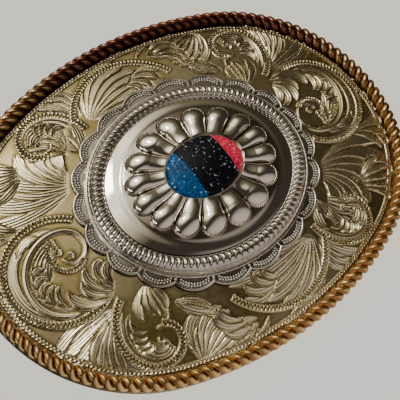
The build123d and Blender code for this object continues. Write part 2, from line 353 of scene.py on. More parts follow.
# the glow entry sets the strength of the stones' painted glow
stoneLook = {
    "rough": 0.35, "specular": 0.2, "glintFrom": 0.955, "glintFade": 0.02, "facets": 6500, "glow": 0.35,
    "bump": 0.5, "bumpDepth": 0.04,
}
stoneBlue = sparklingStone("stoneBlue", {
    **stoneLook, "deep": (0.0, 0.012, 0.045), "bright": (0.0, 0.095, 0.27), "paintedGlint": (0.22, 0.48, 0.70),
})
stoneBlack = sparklingStone("stoneBlack", {
    **stoneLook, "deep": (0.001, 0.001, 0.002), "bright": (0.004, 0.004, 0.008), "paintedGlint": (0.30, 0.30, 0.36),
})
stoneRed = sparklingStone("stoneRed", {
    **stoneLook, "deep": (0.30, 0.006, 0.022), "bright": (0.78, 0.040, 0.095), "paintedGlint": (0.85, 0.30, 0.36),
})
print("materials made")

# rope edge: two wires twisted round each other along the oval
rope = {
    "inset": 1.5, "wireRadius": 0.74, "helixRadius": 0.78, "twists": 63, "perTwist": 24, "around": 14,
    "lift": 0.125,
}
rope["height"] = (-ropeLow[1] - ropeHigh[1]) / 2 + rope["lift"]


def ovalPath(inset, count):
    # count points evenly spaced by length along the inset oval
    turn = np.linspace(0, tau, 20 * count + 1)
    reach = ovalReach(turn, inset)
    x, z = reach * np.cos(turn), reach * np.sin(turn)
    length = np.append(0, np.cumsum(np.hypot(np.diff(x), np.diff(z))))
    even = np.interp(np.arange(count) * length[-1] / count, length, turn)
    reach = ovalReach(even, inset)
    return reach * np.cos(even), reach * np.sin(even)


def ropeStrand(name, start):
    # the wire's centre is the oval's point + helixRadius * (outward cos a + forward sin a), a = twists turns
    count = rope["twists"] * rope["perTwist"]
    x, z = ovalPath(rope["inset"], count)
    alongX, alongZ = np.roll(x, -1) - np.roll(x, 1), np.roll(z, -1) - np.roll(z, 1)
    length = np.hypot(alongX, alongZ)
    outX, outZ = alongZ / length, -alongX / length
    angle = start - np.arange(count) * tau / rope["perTwist"]
    outward = np.stack([outX * np.cos(angle), outZ * np.cos(angle), np.sin(angle)], -1)
    middle = np.stack([x, z, np.full(count, rope["height"])], -1)
    path = middle + rope["helixRadius"] * outward
    inner = np.linspace(0, tau, rope["around"], endpoint=False)
    # painted shade: each wire is darker along one flank and lighter along the other
    tone = np.broadcast_to(smooth(0.1, 0.9, (1 + np.cos(inner)) / 2), (count, rope["around"]))
    return tubePiece(name, path, outward, rope["wireRadius"], rope["around"], ropeBronze, "rope_bronze",
                     stands=("rope_edge",), tone=tone)


ropeStrand("rope_strand_1", 0.0)
ropeStrand("rope_strand_2", math.pi)
print("rope made")

# concho border: scallops with a rolled rim, two rows of beads and a plain field
border = {
    "scallops": 20, "perScallop": 84, "rows": 54, "under": 0.5, "sheet": 0.6, "seat": 0.2, "baseSink": 0.02,
    "depth": 1.3, "pitchAt": 2.0, "rimWidth": 0.62, "rimRise": 0.34, "beadRows": (0.98, 1.50),
    "beadRadius": 0.25, "beadPitch": 0.60, "beadRise": 0.20, "beadMargin": 0.75,
    "chainRadius": 0.30, "chainRise": 0.28, "chainAt": (0.50, 1.08, 1.62),
    "fieldFrom": 1.80, "fieldFade": 0.12, "fieldSink": 0.14, "footWidth": 0.55, "footRise": 0.25,
}
border["width"] = borderHigh[0] - ringHigh[0]
farAway = 9.0  # further than any bead or grain reaches


def bead(distance, radius, rise):
    # a round head:  rise * sqrt(1 - (d / radius)^2)
    return rise * np.sqrt(np.clip(1 - (distance / radius) ** 2, 0, 1))


def conchoBorder():
    # w runs outward from the ring; each scallop's edge is an arc of radius (u^2 + depth^2) / (2 depth) and
    # the ornament is a function of the distance d inward from that arc
    count = border["scallops"] * border["perScallop"]
    turns = np.linspace(0, tau, count, endpoint=False)[:, None]
    step = tau / border["scallops"]
    middle = np.round(turns / step) * step
    pitchX, pitchZ = ringHigh[0] + border["pitchAt"], ringHigh[2] + border["pitchAt"]
    reach = np.hypot(pitchX * np.sin(middle), pitchZ * np.cos(middle))
    halfPitch = reach * step / 2
    along = (turns - middle) * reach
    arcRadius = (halfPitch**2 + border["depth"] ** 2) / (2 * border["depth"])
    arcMiddle = border["width"] - arcRadius
    edge = arcMiddle + np.sqrt(arcRadius**2 - along**2)
    share = np.linspace(0, 1, border["rows"])[None, :]
    w = -border["under"] + (edge + border["under"]) * share
    inward = arcRadius - np.hypot(along, w - arcMiddle)
    relief = border["rimRise"] * np.sqrt(np.clip(1 - (2 * inward / border["rimWidth"] - 1) ** 2, 0, 1))
    arcAngle = np.arctan2(along, w - arcMiddle)
    for depth in border["beadRows"]:
        onRow = arcAngle * (arcRadius - depth)
        offset = (onRow / border["beadPitch"] + 0.5) % 1 * border["beadPitch"] - border["beadPitch"] / 2
        gone = np.abs(onRow) > halfPitch - border["beadMargin"]
        distance = np.hypot(offset, inward - depth) + gone * farAway
        relief = np.maximum(relief, bead(distance, border["beadRadius"], border["beadRise"]))
    valley = border["width"] - border["depth"]
    for drop in border["chainAt"]:
        distance = np.hypot(halfPitch - np.abs(along), w - valley + drop)
        relief = np.maximum(relief, bead(distance, border["chainRadius"], border["chainRise"]))
    field = smooth(border["fieldFrom"], border["fieldFrom"] + border["fieldFade"], inward)
    foot = 1 - smooth(border["footWidth"] * 0.6, border["footWidth"], w)
    relief = np.maximum(relief - border["fieldSink"] * field, border["footRise"] * foot)
    x, z = (ringHigh[0] + w) * np.cos(turns), (ringHigh[2] + w) * np.sin(turns)
    top = domeHeight(x, z, plateDome, border["sheet"]) - border["seat"] + relief
    base = domeHeight(x[:, [-1, 0]], z[:, [-1, 0]], plateDome) - border["baseSink"]
    # painted shade: dark in the hollows and along the outer edge
    tone = smooth(0.10, -0.05, relief) * (1 - field * 0.3) + smooth(0.2, 0.0, inward) * 0.5
    return gridPiece("concho_border_sheet", withBack(x), withBack(z), np.concatenate([top, base], 1),
                     conchoSilver, "concho_silver", stands=("concho_border",), flip=True,
                     tone=np.clip(withBack(tone), 0, 1))


conchoBorder()

# engraving: leaves, scrolls and wriggle lines carved into a height map of the dome
engraving = {
    "cell": 0.06, "halfX": 51.0, "halfZ": 38.4, "groundSink": 0.10, "cutSink": 0.2, "stroke": 0.04,
    "fewest": 24, "lineInset": 3.85, "spread": (1, 2, 4, 6), "hollowDepth": 0.11,
}
carved = {}
radian = 57.3  # degrees
decay = 0.65  # what is left of a scroll's radius after a quarter turn


def clearEngraving():
    # open ground everywhere:  relief = -groundSink, and no leaf or hatching
    shape = tuple(int(2 * engraving[half] / engraving["cell"]) for half in ("halfZ", "halfX"))
    carved["relief"] = np.full(shape, -engraving["groundSink"])
    for layer in ("across", "lined", "leaf"):
        carved[layer] = np.zeros(shape)


def strand(x, z, heading, length, turn, tighten=0.0):
    # a curve whose curvature grows evenly:  heading(t) = heading + turn * (t + tighten * (t^2 - t))
    count = max(int(length / engraving["stroke"]), engraving["fewest"])
    t = np.linspace(0, 1, count)
    angle = np.radians(heading + turn * (t + tighten * (t**2 - t)))
    step = length / (count - 1)
    path = np.stack([np.cos(angle), np.sin(angle)], -1) * step
    return np.array([x, z]) + np.cumsum(path, 0) - path[0]


def spiral(x, z, first, last, start, sweep, drift=(0.0, 0.0), ease=1.0):
    # a spiral:  r = first * (last / first)^(t^ease), about a middle that drifts along an S to its own place
    arc = abs(sweep) * max(first, last) / radian
    count = max(int(arc / engraving["stroke"]), engraving["fewest"])
    t = np.linspace(0, 1, count)
    angle, radius = np.radians(start + sweep * t), first * (last / first) ** (t**ease)
    middle = np.array([x, z]) + np.outer(smooth(0.0, 0.55, t), drift)
    return middle + radius[:, None] * np.stack([np.cos(angle), np.sin(angle)], -1)


def aheadOf(path):
    # the unit direction of travel at each point of a flat path
    ahead = np.gradient(path, axis=0)
    return ahead / np.maximum(np.hypot(ahead[:, 0], ahead[:, 1]), 1e-9)[:, None]


def stamp(path, left, right, profile, lined=1.0, leaf=1.0):
    # fills the strip from path - right to path + left (both run along it) with profile(t, v), v from -1 to
    # 1; the second copy is turned half round, which is how the pattern repeats on the plate
    t = np.linspace(0, 1, len(path))
    ahead = aheadOf(path)
    normal = np.stack([-ahead[:, 1], ahead[:, 0]], -1)
    lanes = max(int((np.max(left) + np.max(right)) / engraving["stroke"]), 4)
    v = np.linspace(-1, 1, lanes)[None, :]
    offset = np.where(v > 0, v * np.reshape(left, (-1, 1)), v * np.reshape(right, (-1, 1)))
    x, z = path[:, :1] + normal[:, :1] * offset, path[:, 1:] + normal[:, 1:] * offset
    height, offset = profile(t[:, None], v) + 0 * x, offset + 0 * x
    rows, columns = carved["relief"].shape
    for sign in (1, -1):
        column = ((sign * x + engraving["halfX"]) / engraving["cell"]).astype(int)
        row = ((sign * z + engraving["halfZ"]) / engraving["cell"]).astype(int)
        inside = (column >= 0) & (column < columns) & (row >= 0) & (row < rows)
        column, row = column[inside], row[inside]
        carved["relief"][row, column] = height[inside]
        carved["across"][row, column] = offset[inside]
        carved["lined"][row, column] = lined
        carved["leaf"][row, column] = leaf


def lobe(path, width, hand=1, rise=0.72, lined=1.0, belly=0.42, tip=0.75):
    # a leaf lobe, pointed at both ends and widest at belly:  half width ~ t^p (1 - t)^tip, and a face that
    # slopes up to a crisp edge on the hand side:  rise * (0.12 + 0.88 ((1 + hand v) / 2)^1.3) * (1 - v^6)
    t = np.linspace(0, 1, len(path))
    power = tip * belly / (1 - belly)
    swell = (t / belly) ** power * np.clip((1 - t) / (1 - belly), 0, 1) ** tip
    swell = np.maximum(width / 2 * swell, 0.03)

    def leafFace(along, v):
        slope = 0.12 + 0.88 * ((1 + hand * v) / 2) ** 1.3
        return rise * slope * (1 - v**6) * smooth(-0.1, 0.3, along) - engraving["cutSink"]

    stamp(path, swell, swell, leafFace, lined)


def band(path, wide, narrow, rise=0.62, lined=0.8, hand=1):
    # a scroll's stem, whose width runs from wide to narrow and whose face is higher on the hand side:
    # rise * (1 - |v|^3) * (0.35 + 0.65 (1 + hand v) / 2)
    t = np.linspace(0, 1, len(path))
    half = (wide + (narrow - wide) * t) / 2 * smooth(-0.02, 0.05, t)

    def stemFace(along, v):
        side = hand * v
        height = rise * (1 - np.abs(side) ** 3) * (0.35 + 0.65 * (1 + side) / 2)
        return height - engraving["cutSink"] + 0 * along

    stamp(path, half, half, stemFace, lined)


def wriggle(path, pitch=0.78, reach=0.5, width=0.36, depth=0.34):
    # a zigzag cut:  offset = reach * triangle(length / pitch), a V groove along it on a low flat track
    gap = np.append(0, np.cumsum(np.hypot(*np.diff(path, axis=0).T)))
    ahead = aheadOf(path)
    fine = np.linspace(0, gap[-1], max(int(gap[-1] / 0.02), 40))
    x, z = np.interp(fine, gap, path[:, 0]), np.interp(fine, gap, path[:, 1])
    normalX, normalZ = np.interp(fine, gap, -ahead[:, 1]), np.interp(fine, gap, ahead[:, 0])
    offset = reach * (2 * np.abs((fine / pitch) % 1 * 2 - 1) - 1)

    def bed(along, v):
        return 0.02 + 0.10 * (np.abs(v) < 0.86) + 0 * along

    def groove(along, v):
        return 0.14 - (depth + 0.14) * (1 - np.abs(v)) + 0 * along

    track = np.stack([x, z], -1)
    zigzag = track + np.stack([normalX, normalZ], -1) * offset[:, None]
    stamp(track[::2], reach + width * 0.8, reach + width * 0.8, bed, 0.0, 0.5)
    stamp(zigzag, width / 2, width / 2, groove, 0.0, 0.5)


def fan(x, z, headings, lengths, turns, width, lobes, hand, step=(0.0, 0.0)):
    # a leaf: lobes leave one root side by side; heading, length and turn run evenly from first to last,
    # swayed a little from lobe to lobe, and each lobe curls harder toward its tip
    ranges = (headings, lengths, turns)
    for number, share in enumerate(np.linspace(0, 1, lobes)):
        heading, length, turn = (first + (last - first) * share for first, last in ranges)
        length *= 1 + 0.14 * math.sin(2.4 * number + x)
        turn += math.copysign(16 * math.sin(1.7 * number + z) + 20, turn)
        path = strand(x + step[0] * share, z + step[1] * share, heading, length, turn, 0.95)
        lobe(path, width * (1.15 - 0.25 * share), hand=hand, belly=0.52, tip=0.62)


def coil(x, z, radius, start, sweep):
    # a spiral that keeps decay of its radius in each quarter turn
    return spiral(x, z, radius, radius * decay ** (abs(sweep) / 90), start, sweep)


def scroll(stemOf, size, start, hand, lobes, eye):
    # stemOf(share, begin, sweep) gives the scroll's own spiral scaled about its middle; nested lobes follow
    # it inside the first bow and end in small curls, shorter leaves cross the bow, and a lobe fills the eye
    turn = -hand
    for number in range(lobes):
        begin, sweep = start + turn * (4 + 15 * number), turn * (160 - 17 * number)
        leaf = stemOf(0.86 - 0.56 * number / lobes, begin, sweep)
        lobe(leaf, size * 0.25, hand=hand, belly=0.5, tip=0.55)
        ahead = leaf[-1] - leaf[-6]
        facing = math.degrees(math.atan2(ahead[1], ahead[0]))
        lobe(strand(*leaf[-1], facing + turn * 20, size * 0.2, turn * 230), size * 0.11, hand=hand)
    for number in range(lobes):
        begin = start + turn * (12 + 20 * number)
        root = stemOf(0.80, begin, turn * 10)[0]
        leaf = strand(*root, begin + turn * 122, size * (0.52 - 0.06 * number), turn * 120, 0.4)
        lobe(leaf, size * 0.17, hand=hand)
    eyeX, eyeZ, eyeStart = eye
    lobe(strand(eyeX, eyeZ, eyeStart, size * 0.17, turn * 230), size * 0.15, hand=hand)


bigSpiral = {
    "x": -35.3, "z": -1.0, "outer": 9.1, "inner": 1.3, "start": 262, "sweep": -430, "drift": (3.3, 1.85),
    "ease": 1.5, "leafSize": 10.5, "leaves": 5, "eye": (-32.4, 0.6, 40), "stem": (1.9, 0.9),
}


def bigScroll():
    # the scroll at the plate's end: one spiral with a drifting middle, parts of it cut out by their angles
    x, z, start, sweepAll = (bigSpiral[key] for key in ("x", "z", "start", "sweep"))

    def stemOf(share, begin, sweep):
        whole = spiral(x, z, bigSpiral["outer"] * share, bigSpiral["inner"] * share, start, sweepAll,
                       bigSpiral["drift"], bigSpiral["ease"])
        first = (start - begin) / -sweepAll
        last = first + abs(sweep) / -sweepAll
        return whole[int(first * len(whole)):int(min(last, 1) * len(whole))]

    lobe(spiral(x, z, 9.3, 8.5, 268, -200), 2.2, hand=-1, rise=0.5, belly=0.5, tip=0.4)
    fan(-40.6, 5.6, (40, -20), (6.5, 5.0), (-70, -110), 2.0, 4, -1, (2.0, -2.4))
    scroll(stemOf, bigSpiral["leafSize"], start, 1, bigSpiral["leaves"], bigSpiral["eye"])
    band(stemOf(1.0, start, sweepAll), *bigSpiral["stem"], hand=1)
    wriggle(spiral(-32.0, 0.85, 4.1, 3.1, 118, 190), reach=0.32, width=0.26, pitch=0.58)
    wriggle(spiral(x, z, 10.7, 10.5, 44, 258))


def smallScroll(x, z, radius, start, sweep):
    # a coil whose nested leaves are coils of the radius it has where they begin
    def stemOf(share, begin, part):
        return coil(x, z, radius * share * 0.86 * decay ** (abs(begin - start) / 90), begin, part)

    scroll(stemOf, radius * 0.82, start, -1, 4, (x - radius * 0.05, z, start + 60))
    band(stemOf(1.0, start + 8, sweep + 30), radius * 0.13, radius * 0.06, hand=-1)
    wriggle(coil(x, z, radius, start - 4, sweep))


# each leaf's root, first and last heading, length and turn, then width, lobes, hand and how far the root
# moves from the first lobe to the last; the list runs from the back forward
leaves = (
    (-24.6, 11.8, (186, 96), (23.0, 7.0), (-62, -80), 3.5, 9, -1, (2.0, 3.4)),
    (-37.0, 10.2, (176, 150), (12.5, 9.0), (10, -50), 2.6, 3, -1),
    (-46.2, 8.6, (250, 214), (8.0, 4.0), (30, 20), 1.7, 3, -1),
    (-31.5, -12.8, (176, 204), (15.5, 13.0), (26, -14), 3.1, 4, 1, (-0.6, -1.0)),
    (-45.6, -6.4, (168, 148), (5.0, 3.2), (-60, -60), 1.5, 2, -1),
    (-47.0, -0.8, (190, 190), (3.4, 3.4), (-60, -60), 1.5, 1, -1),
    (-32.8, -14.4, (206, 262), (12.5, 13.5), (46, 34), 2.9, 6, -1, (0.4, -1.6)),
    (-23.0, -31.0, (88, -8), (10.5, 13.0), (-92, 12), 3.0, 8, 1, (0.6, -0.4)),
    (-21.0, -18.4, (-30, -62), (10.0, 9.0), (-40, 34), 2.3, 4, 1),
    (-18.0, -33.6, (16, -6), (9.0, 13.0), (-40, 16), 1.8, 3, 1),
    (11.8, -23.4, (246, 178), (19.0, 19.0), (-58, -10), 3.3, 8, -1, (-1.0, 0.6)),
    (-2.0, -27.2, (196, 160), (8.5, 5.0), (-70, -90), 2.2, 4, -1, (2.0, 1.0)),
    (12.8, -25.0, (250, 320), (8.6, 9.5), (60, 56), 2.4, 6, 1, (0.4, 0.4)),
    (-17.5, 17.6, (60, 120), (7.0, 5.0), (40, -40), 2.2, 3, 1),
    (-24.0, -12.6, (212, 296), (6.5, 7.0), (50, -50), 2.0, 5, 1, (1.0, -0.6)),
    (-10.2, -31.8, (200, 150), (8.5, 6.5), (-40, -80), 2.2, 4, -1, (-1.5, 2.6)),
    (19.0, -20.4, (262, 318), (8.0, 8.5), (40, 60), 2.2, 5, 1, (1.2, 1.4)),
    (-30.0, 21.8, (150, 208), (7.5, 8.5), (-60, -20), 2.2, 5, -1, (-1.0, -2.4)),
)


def engrave():
    # leaves first, then the scrolls, the arch and the line inside the rope over them; each cut replaces
    # what it covers, and the finished relief is blurred by two 1-2-1 passes each way
    clearEngraving()
    for leaf in leaves:
        fan(*leaf)
    bigScroll()
    fan(-29.6, -10.8, (176, 104), (9.0, 6.5), (-70, -120), 2.5, 5, 1, (1.2, 1.8))
    smallScroll(-26.5, -22.5, 10.6, 108, 310)
    smallScroll(-23.0, 23.7, 9.7, -6, 300)
    wriggle(strand(-10.8, -24.4, -66, 31.5, 130, 0.0))
    turn = np.linspace(0, math.pi, 3000)
    reach = ovalReach(turn, engraving["lineInset"])
    line = np.stack([reach * np.cos(turn), reach * np.sin(turn)], -1)
    wriggle(line, pitch=0.8, reach=0.26, width=0.26, depth=0.16)
    relief = carved["relief"]
    for axis in (0, 1, 0, 1):
        relief = (np.roll(relief, 1, axis) + 2 * relief + np.roll(relief, -1, axis)) / 4
    carved["relief"] = relief
    # tarnish on the open ground plus painted shade in whatever lies below its surroundings, the relief
    # spread over a few cells
    spread = relief
    for step in engraving["spread"]:
        for axis in (0, 1):
            spread = (np.roll(spread, step, axis) + spread + np.roll(spread, -step, axis)) / 3
    hollow = np.clip((spread - relief) / engraving["hollowDepth"], -0.4, 1)
    carved["shade"] = np.clip(0.55 * (1 - carved["leaf"]) + 0.7 * hollow + 0.1, 0, 1)


engrave()
print("engraving carved")

# face plate: a domed shell in four quarters, its top following the engraving
face = {
    "columns": 560, "plainRows": 6, "carvedRows": 158, "grooveInset": 3.0, "shelf": 1.5, "flangeInset": 4.4,
    "sheet": 0.9, "hole": 2.9, "backHeight": 0.9, "coverMargin": 0.8, "coverFade": 0.6, "bevel": 0.1,
}


def sampled(layer, x, z):
    # bilinear read of a carved layer at (x, z)
    column = (x + engraving["halfX"]) / engraving["cell"] - 0.5
    row = (z + engraving["halfZ"]) / engraving["cell"] - 0.5
    i = np.clip(row.astype(int), 0, layer.shape[0] - 2)
    j = np.clip(column.astype(int), 0, layer.shape[1] - 2)
    u, v = column - j, row - i
    low = layer[i, j] * (1 - u) + layer[i, j + 1] * u
    high = layer[i + 1, j] * (1 - u) + layer[i + 1, j + 1] * u
    return low * (1 - v) + high * v


def faceQuarter(number):
    # a quarter turn of the shell, from the hole under the concho out over the carved dome:
    # dome + relief * fade, then the groove's floor, the edge, the flange and back along the underside
    turns = np.linspace(number * tau / 4, (number + 1) * tau / 4, face["columns"])
    turn = turns[:, None]
    rim = ovalReach(turn, face["grooveInset"])
    coverX, coverZ = (borderHigh[axis] - border["depth"] - face["coverMargin"] for axis in (0, 2))
    covered = 1 / np.sqrt((np.cos(turn) / coverX) ** 2 + (np.sin(turn) / coverZ) ** 2)
    plain = face["hole"] + (covered - face["hole"]) * np.linspace(0, 1, face["plainRows"], endpoint=False)
    shown = covered + (rim - covered) * np.linspace(0, 1, face["carvedRows"])
    radius = np.concatenate([plain, shown], 1)
    x, z = radius * np.cos(turn), radius * np.sin(turn)
    relief = sampled(carved["relief"], x, z) * smooth(covered, covered + face["coverFade"], radius)
    top = domeHeight(x, z, plateDome) + relief
    edge = ovalReach(turn, oval["plateInset"])
    flange = ovalReach(turn, face["flangeInset"])
    under = domeHeight(flange * np.cos(turn), flange * np.sin(turn), plateDome, -face["sheet"])
    ones = np.ones_like(turn)
    low = domeHeight(face["hole"], 0, plateDome, -face["sheet"])
    shelf, back, bevel = ones * face["shelf"], ones * face["backHeight"], face["bevel"]
    radii = np.concatenate([radius, rim, edge - bevel, edge, edge, flange, flange, ones * face["hole"]], 1)
    heights = np.concatenate([top, shelf, shelf, shelf - bevel, back, back, under, ones * low], 1)
    rest = radii.shape[1] - radius.shape[1]
    # tone: tarnish and painted shade read from the carving, a middle tone on the plain parts past it
    tone = np.pad(sampled(carved["shade"], x, z), ((0, 0), (0, rest)), constant_values=0.5)
    cut = np.stack([sampled(carved["across"], x, z), sampled(carved["lined"], x, z)], -1)
    cut = np.pad(cut, ((0, 0), (0, rest), (0, 0)))
    return ringPiece("face_plate_quarter_%d" % (number + 1), turns, radii, heights, nickelSilver,
                     "nickel_silver", stands=("face_plate",), wrapU=False, capEnds=True, flip=True,
                     tone=tone, uv=cut)


for number in range(4):
    faceQuarter(number)
print("face plate made")

# gadroon ring: slanted ribs across a rounded band, between two fine lines
gadroon = {
    "ribs": 104, "perRib": 16, "rows": 44, "width": ringHigh[0] - rosetteHigh[0], "rise": 1.55,
    "riseShare": 0.78, "ribRise": 0.7, "ribSink": 0.25, "slant": 0.7, "tips": (0.42, 0.72), "seat": 0.1,
    "lineWidth": 0.13, "lineRise": 0.3, "outerLine": (0.055, 0.045), "innerLine": (0.95, 0.035),
}


def gadroonRing():
    # v runs from the outer edge (0) to the inner (1): a band rise * sin(pi v)^0.6 plus half-round ribs that
    # fade to a point at both ends, plus at each edge a line exp(-((v - place) / width)^2), the inner beaded
    count = gadroon["ribs"] * gadroon["perRib"]
    turns = np.linspace(0, tau, count, endpoint=False)[:, None]
    v = np.linspace(0, 1, gadroon["rows"])[None, :]
    inset = gadroon["width"] * v
    x, z = (ringHigh[0] - inset) * np.cos(turns), (ringHigh[2] - inset) * np.sin(turns)
    swell = gadroon["rise"] * np.sin(math.pi * np.clip(v, 0.0, 1.0)) ** 0.6 * gadroon["riseShare"]
    rib = (turns * gadroon["ribs"] / tau + gadroon["slant"] * v) % 1 * 2 - 1
    ends = smooth(gadroon["lineWidth"], gadroon["tips"][0], v)
    ends = ends * smooth(1 - gadroon["lineWidth"] * 0.6, gadroon["tips"][1], v)
    ribs = np.sqrt(np.clip(1 - rib**2, 0, 1)) * ends
    outer, inner = (np.exp(-(((v - place) / width) ** 2)) for place, width in
                    (gadroon["outerLine"], gadroon["innerLine"]))
    lines = outer + inner * (0.75 + 0.25 * rib)
    top = domeHeight(x, z, plateDome, border["sheet"]) + swell
    top = top + gadroon["ribRise"] * (ribs - gadroon["ribSink"] * ends) + gadroon["lineRise"] * lines
    base = domeHeight(x[:, [-1, 0]], z[:, [-1, 0]], plateDome, border["sheet"]) - gadroon["seat"]
    # painted shade: dark between the ribs and in the groove inside the outer line
    tone = np.clip((1 - ribs) * ends * 1.1 - 0.25, 0, 1)
    tone = tone + 0.5 * smooth(0.13, 0.17, v) * smooth(0.24, 0.17, v)
    return gridPiece("concho_gadroon_ring", withBack(x), withBack(z), np.concatenate([top, base], 1),
                     conchoSilver, "concho_silver", stands=("concho_ring",),
                     tone=np.clip(withBack(tone), 0, 1))


gadroonRing()

# rosette: sixteen round-ended petals on a steep dome in the middle of a domed dish
rosette = {
    "petals": 16, "perPetal": 60, "rows": 97, "tipGapX": 4.0, "tipGapZ": 2.7, "apex": 9.6, "rise": 3.8,
    "dishRise": 2.95, "dishApex": 8.75, "sheet": 0.7, "nearRise": 0.62, "bulbRise": 1.75, "bulbPower": 1.2,
    "creaseSink": 0.30, "capLength": 0.95, "lipSink": 0.12,
}
rosetteDish = {"apex": rosette["dishApex"], "halfX": rosetteHigh[0], "halfZ": rosetteHigh[2],
               "rise": rosette["dishRise"]}
petalDome = {"apex": rosette["apex"], "halfX": rosetteHigh[0] - rosette["tipGapX"],
             "halfZ": rosetteHigh[2] - rosette["tipGapZ"], "rise": rosette["rise"]}


def petalRosette():
    # v runs from the cup's edge (0) to the ring (1); the ground is the higher of dish and dome; a petal's
    # crown is sqrt(1 - a^2 - e^2), where a runs from -1 to 1 across it and e from 0 to 1 over its round end
    count = rosette["petals"] * rosette["perPetal"]
    turns = np.linspace(0, tau, count, endpoint=False)[:, None]
    v = np.linspace(0, 1, rosette["rows"])[None, :]
    spanX, spanZ = rosetteHigh[0] - cupHigh[0], rosetteHigh[2] - cupHigh[2]
    halfX, halfZ = cupHigh[0] + spanX * v, cupHigh[2] + spanZ * v
    x, z = halfX * np.cos(turns), halfZ * np.sin(turns)
    step = tau / rosette["petals"]
    across = (turns / step + 0.5) % 1 * 2 - 1
    tipV = (petalDome["halfX"] - cupHigh[0]) / spanX * np.cos(turns) ** 2
    tipV = tipV + (petalDome["halfZ"] - cupHigh[2]) / spanZ * np.sin(turns) ** 2
    tipX, tipZ = cupHigh[0] + spanX * tipV, cupHigh[2] + spanZ * tipV
    halfWidth = np.hypot(tipX * np.sin(turns), tipZ * np.cos(turns)) * step / 2
    span = np.hypot(spanX * np.cos(turns), spanZ * np.sin(turns))
    capV = tipV - rosette["capLength"] * halfWidth / span
    end = np.clip((v - capV) / (tipV - capV), 0, None)
    crown = np.sqrt(np.clip(1 - across**2 - end**2, 0, 1))
    bulb = smooth(0.0, 1.0, v / capV) ** rosette["bulbPower"]
    rise = rosette["nearRise"] + (rosette["bulbRise"] - rosette["nearRise"]) * bulb
    crease = rosette["creaseSink"] * np.where(v < capV, across**4, 0) * smooth(1.0, 0.7, v / capV)
    dish = domeHeight(x, z, rosetteDish)
    ground = np.maximum(domeHeight(x, z, petalDome), dish)
    lip = rosette["lipSink"] * smooth(1.0, 1.25, end) * smooth(1.8, 1.3, end)
    top = ground + rise * crown - crease - lip
    # painted shade: dark where each petal's crown falls away, between the petals and just past their tips
    tone = np.where(v < tipV, np.clip(1.15 - 1.9 * crown, 0, 0.85), 0.6 * smooth(1.5, 1.0, end) + 0.15)
    # the back: three more columns, at the ring, under the petal tips and at the cup
    tone = np.concatenate([tone, tone[:, [-1, -1, 0]]], 1)
    x = np.concatenate([x, x[:, [-1]], petalDome["halfX"] * np.cos(turns), x[:, [0]]], 1)
    z = np.concatenate([z, z[:, [-1]], petalDome["halfZ"] * np.sin(turns), z[:, [0]]], 1)
    base = domeHeight(x[:, -3:], z[:, -3:], rosetteDish, -rosette["sheet"])
    base[:, 2] = domeHeight(x[:, -1], z[:, -1], petalDome, -rosette["sheet"])
    return gridPiece("concho_petal_dome", x, z, np.concatenate([top, base], 1), rosetteSilver,
                     "concho_silver", stands=("concho_rosette",), tone=np.clip(tone, 0, 1), sharp=60,
                     flip=True)


petalRosette()

# stone: three closed slices of one domed oval, each covered in grains
grains = {
    "pitch": 0.33, "jitter": 0.32, "radius": 0.26, "rise": 0.14, "seed": 7, "columns": 110,
    "perMillimetre": 11, "sink": 0.08, "rimFrom": 0.93, "rimRise": 0.35, "rimDrop": 0.35,
}
stoneDome = {"apex": 10.4, "halfX": -blueLow[0], "halfZ": stoneHigh[2], "rise": 1.4, "base": 8.1}


def grainField(x, z):
    # a jittered lattice of round heads: the nearest head's height, and its own random shade
    draw = np.random.default_rng(grains["seed"])
    cells = int(2 * stoneDome["halfX"] / grains["pitch"]) + 6
    shift = draw.uniform(-grains["jitter"], grains["jitter"], (2, cells, cells)) * grains["pitch"]
    shade = draw.uniform(0, 1, (cells, cells))
    column = np.round(x / grains["pitch"]).astype(int)
    row = np.round(z / grains["pitch"]).astype(int)
    nearest, own = np.full(x.shape, farAway), np.zeros(x.shape)
    for stepX in (-1, 0, 1):
        for stepZ in (-1, 0, 1):
            i, j = (column + stepX) % cells, (row + stepZ) % cells
            distance = np.hypot(x - (column + stepX) * grains["pitch"] - shift[0, i, j],
                                z - (row + stepZ) * grains["pitch"] - shift[1, i, j])
            own = np.where(distance < nearest, shade[i, j], own)
            nearest = np.minimum(nearest, distance)
    return bead(nearest, grains["radius"], grains["rise"]), own


def inlay(node, material, slot):
    # one slice of the domed oval between the node's ends, z = reach(x) * cos a, its top dome + grains, with
    # lower grains and a rounded drop near the rim
    low, high = sides(node)
    rows = int((high[0] - low[0]) * grains["perMillimetre"])
    x = np.linspace(low[0], high[0], rows)[:, None]
    reach = stoneDome["halfZ"] * np.sqrt(np.clip(1 - (x / stoneDome["halfX"]) ** 2, 1e-6, 1))
    z = reach * np.cos(np.linspace(math.pi, 0, grains["columns"]))[None, :]
    x = x + 0 * z
    rise, tone = grainField(x, z)
    inner = 1 - smooth(grains["rimFrom"], 1.0, np.hypot(x / stoneDome["halfX"], z / stoneDome["halfZ"]))
    top = domeHeight(x, z, stoneDome) - grains["sink"] - grains["rimDrop"] * (1 - inner)
    top = top + rise * (grains["rimRise"] + (1 - grains["rimRise"]) * inner)
    base = np.full((rows, 2), stoneDome["base"])
    gridPiece("stone_" + node.split("_")[1], withBack(x), withBack(z), np.concatenate([top, base], 1),
              material, slot, stands=(node,), wrapU=False, capEnds=True, tone=withBack(tone), sharp=70)


inlay("inlay_blue", stoneBlue, "stone_blue")
inlay("inlay_black", stoneBlack, "stone_black")
inlay("inlay_red", stoneRed, "stone_red")
print("concho and stone made")

# other CAD nodes keep their shape
kept = {
    "back_plate": backBrass, "stone_cup": conchoSilver, "concho_post": hardwareNickel,
    "concho_screw": hardwareNickel, "hinge_tube": hardwareNickel, "hinge_saddle": hardwareNickel,
    "bail": bailWire, "hook_pad": hardwareNickel, "hook_post": hardwareNickel,
}
for node, material in kept.items():
    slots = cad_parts[node].data.materials
    slots.clear()
    slots.append(material)

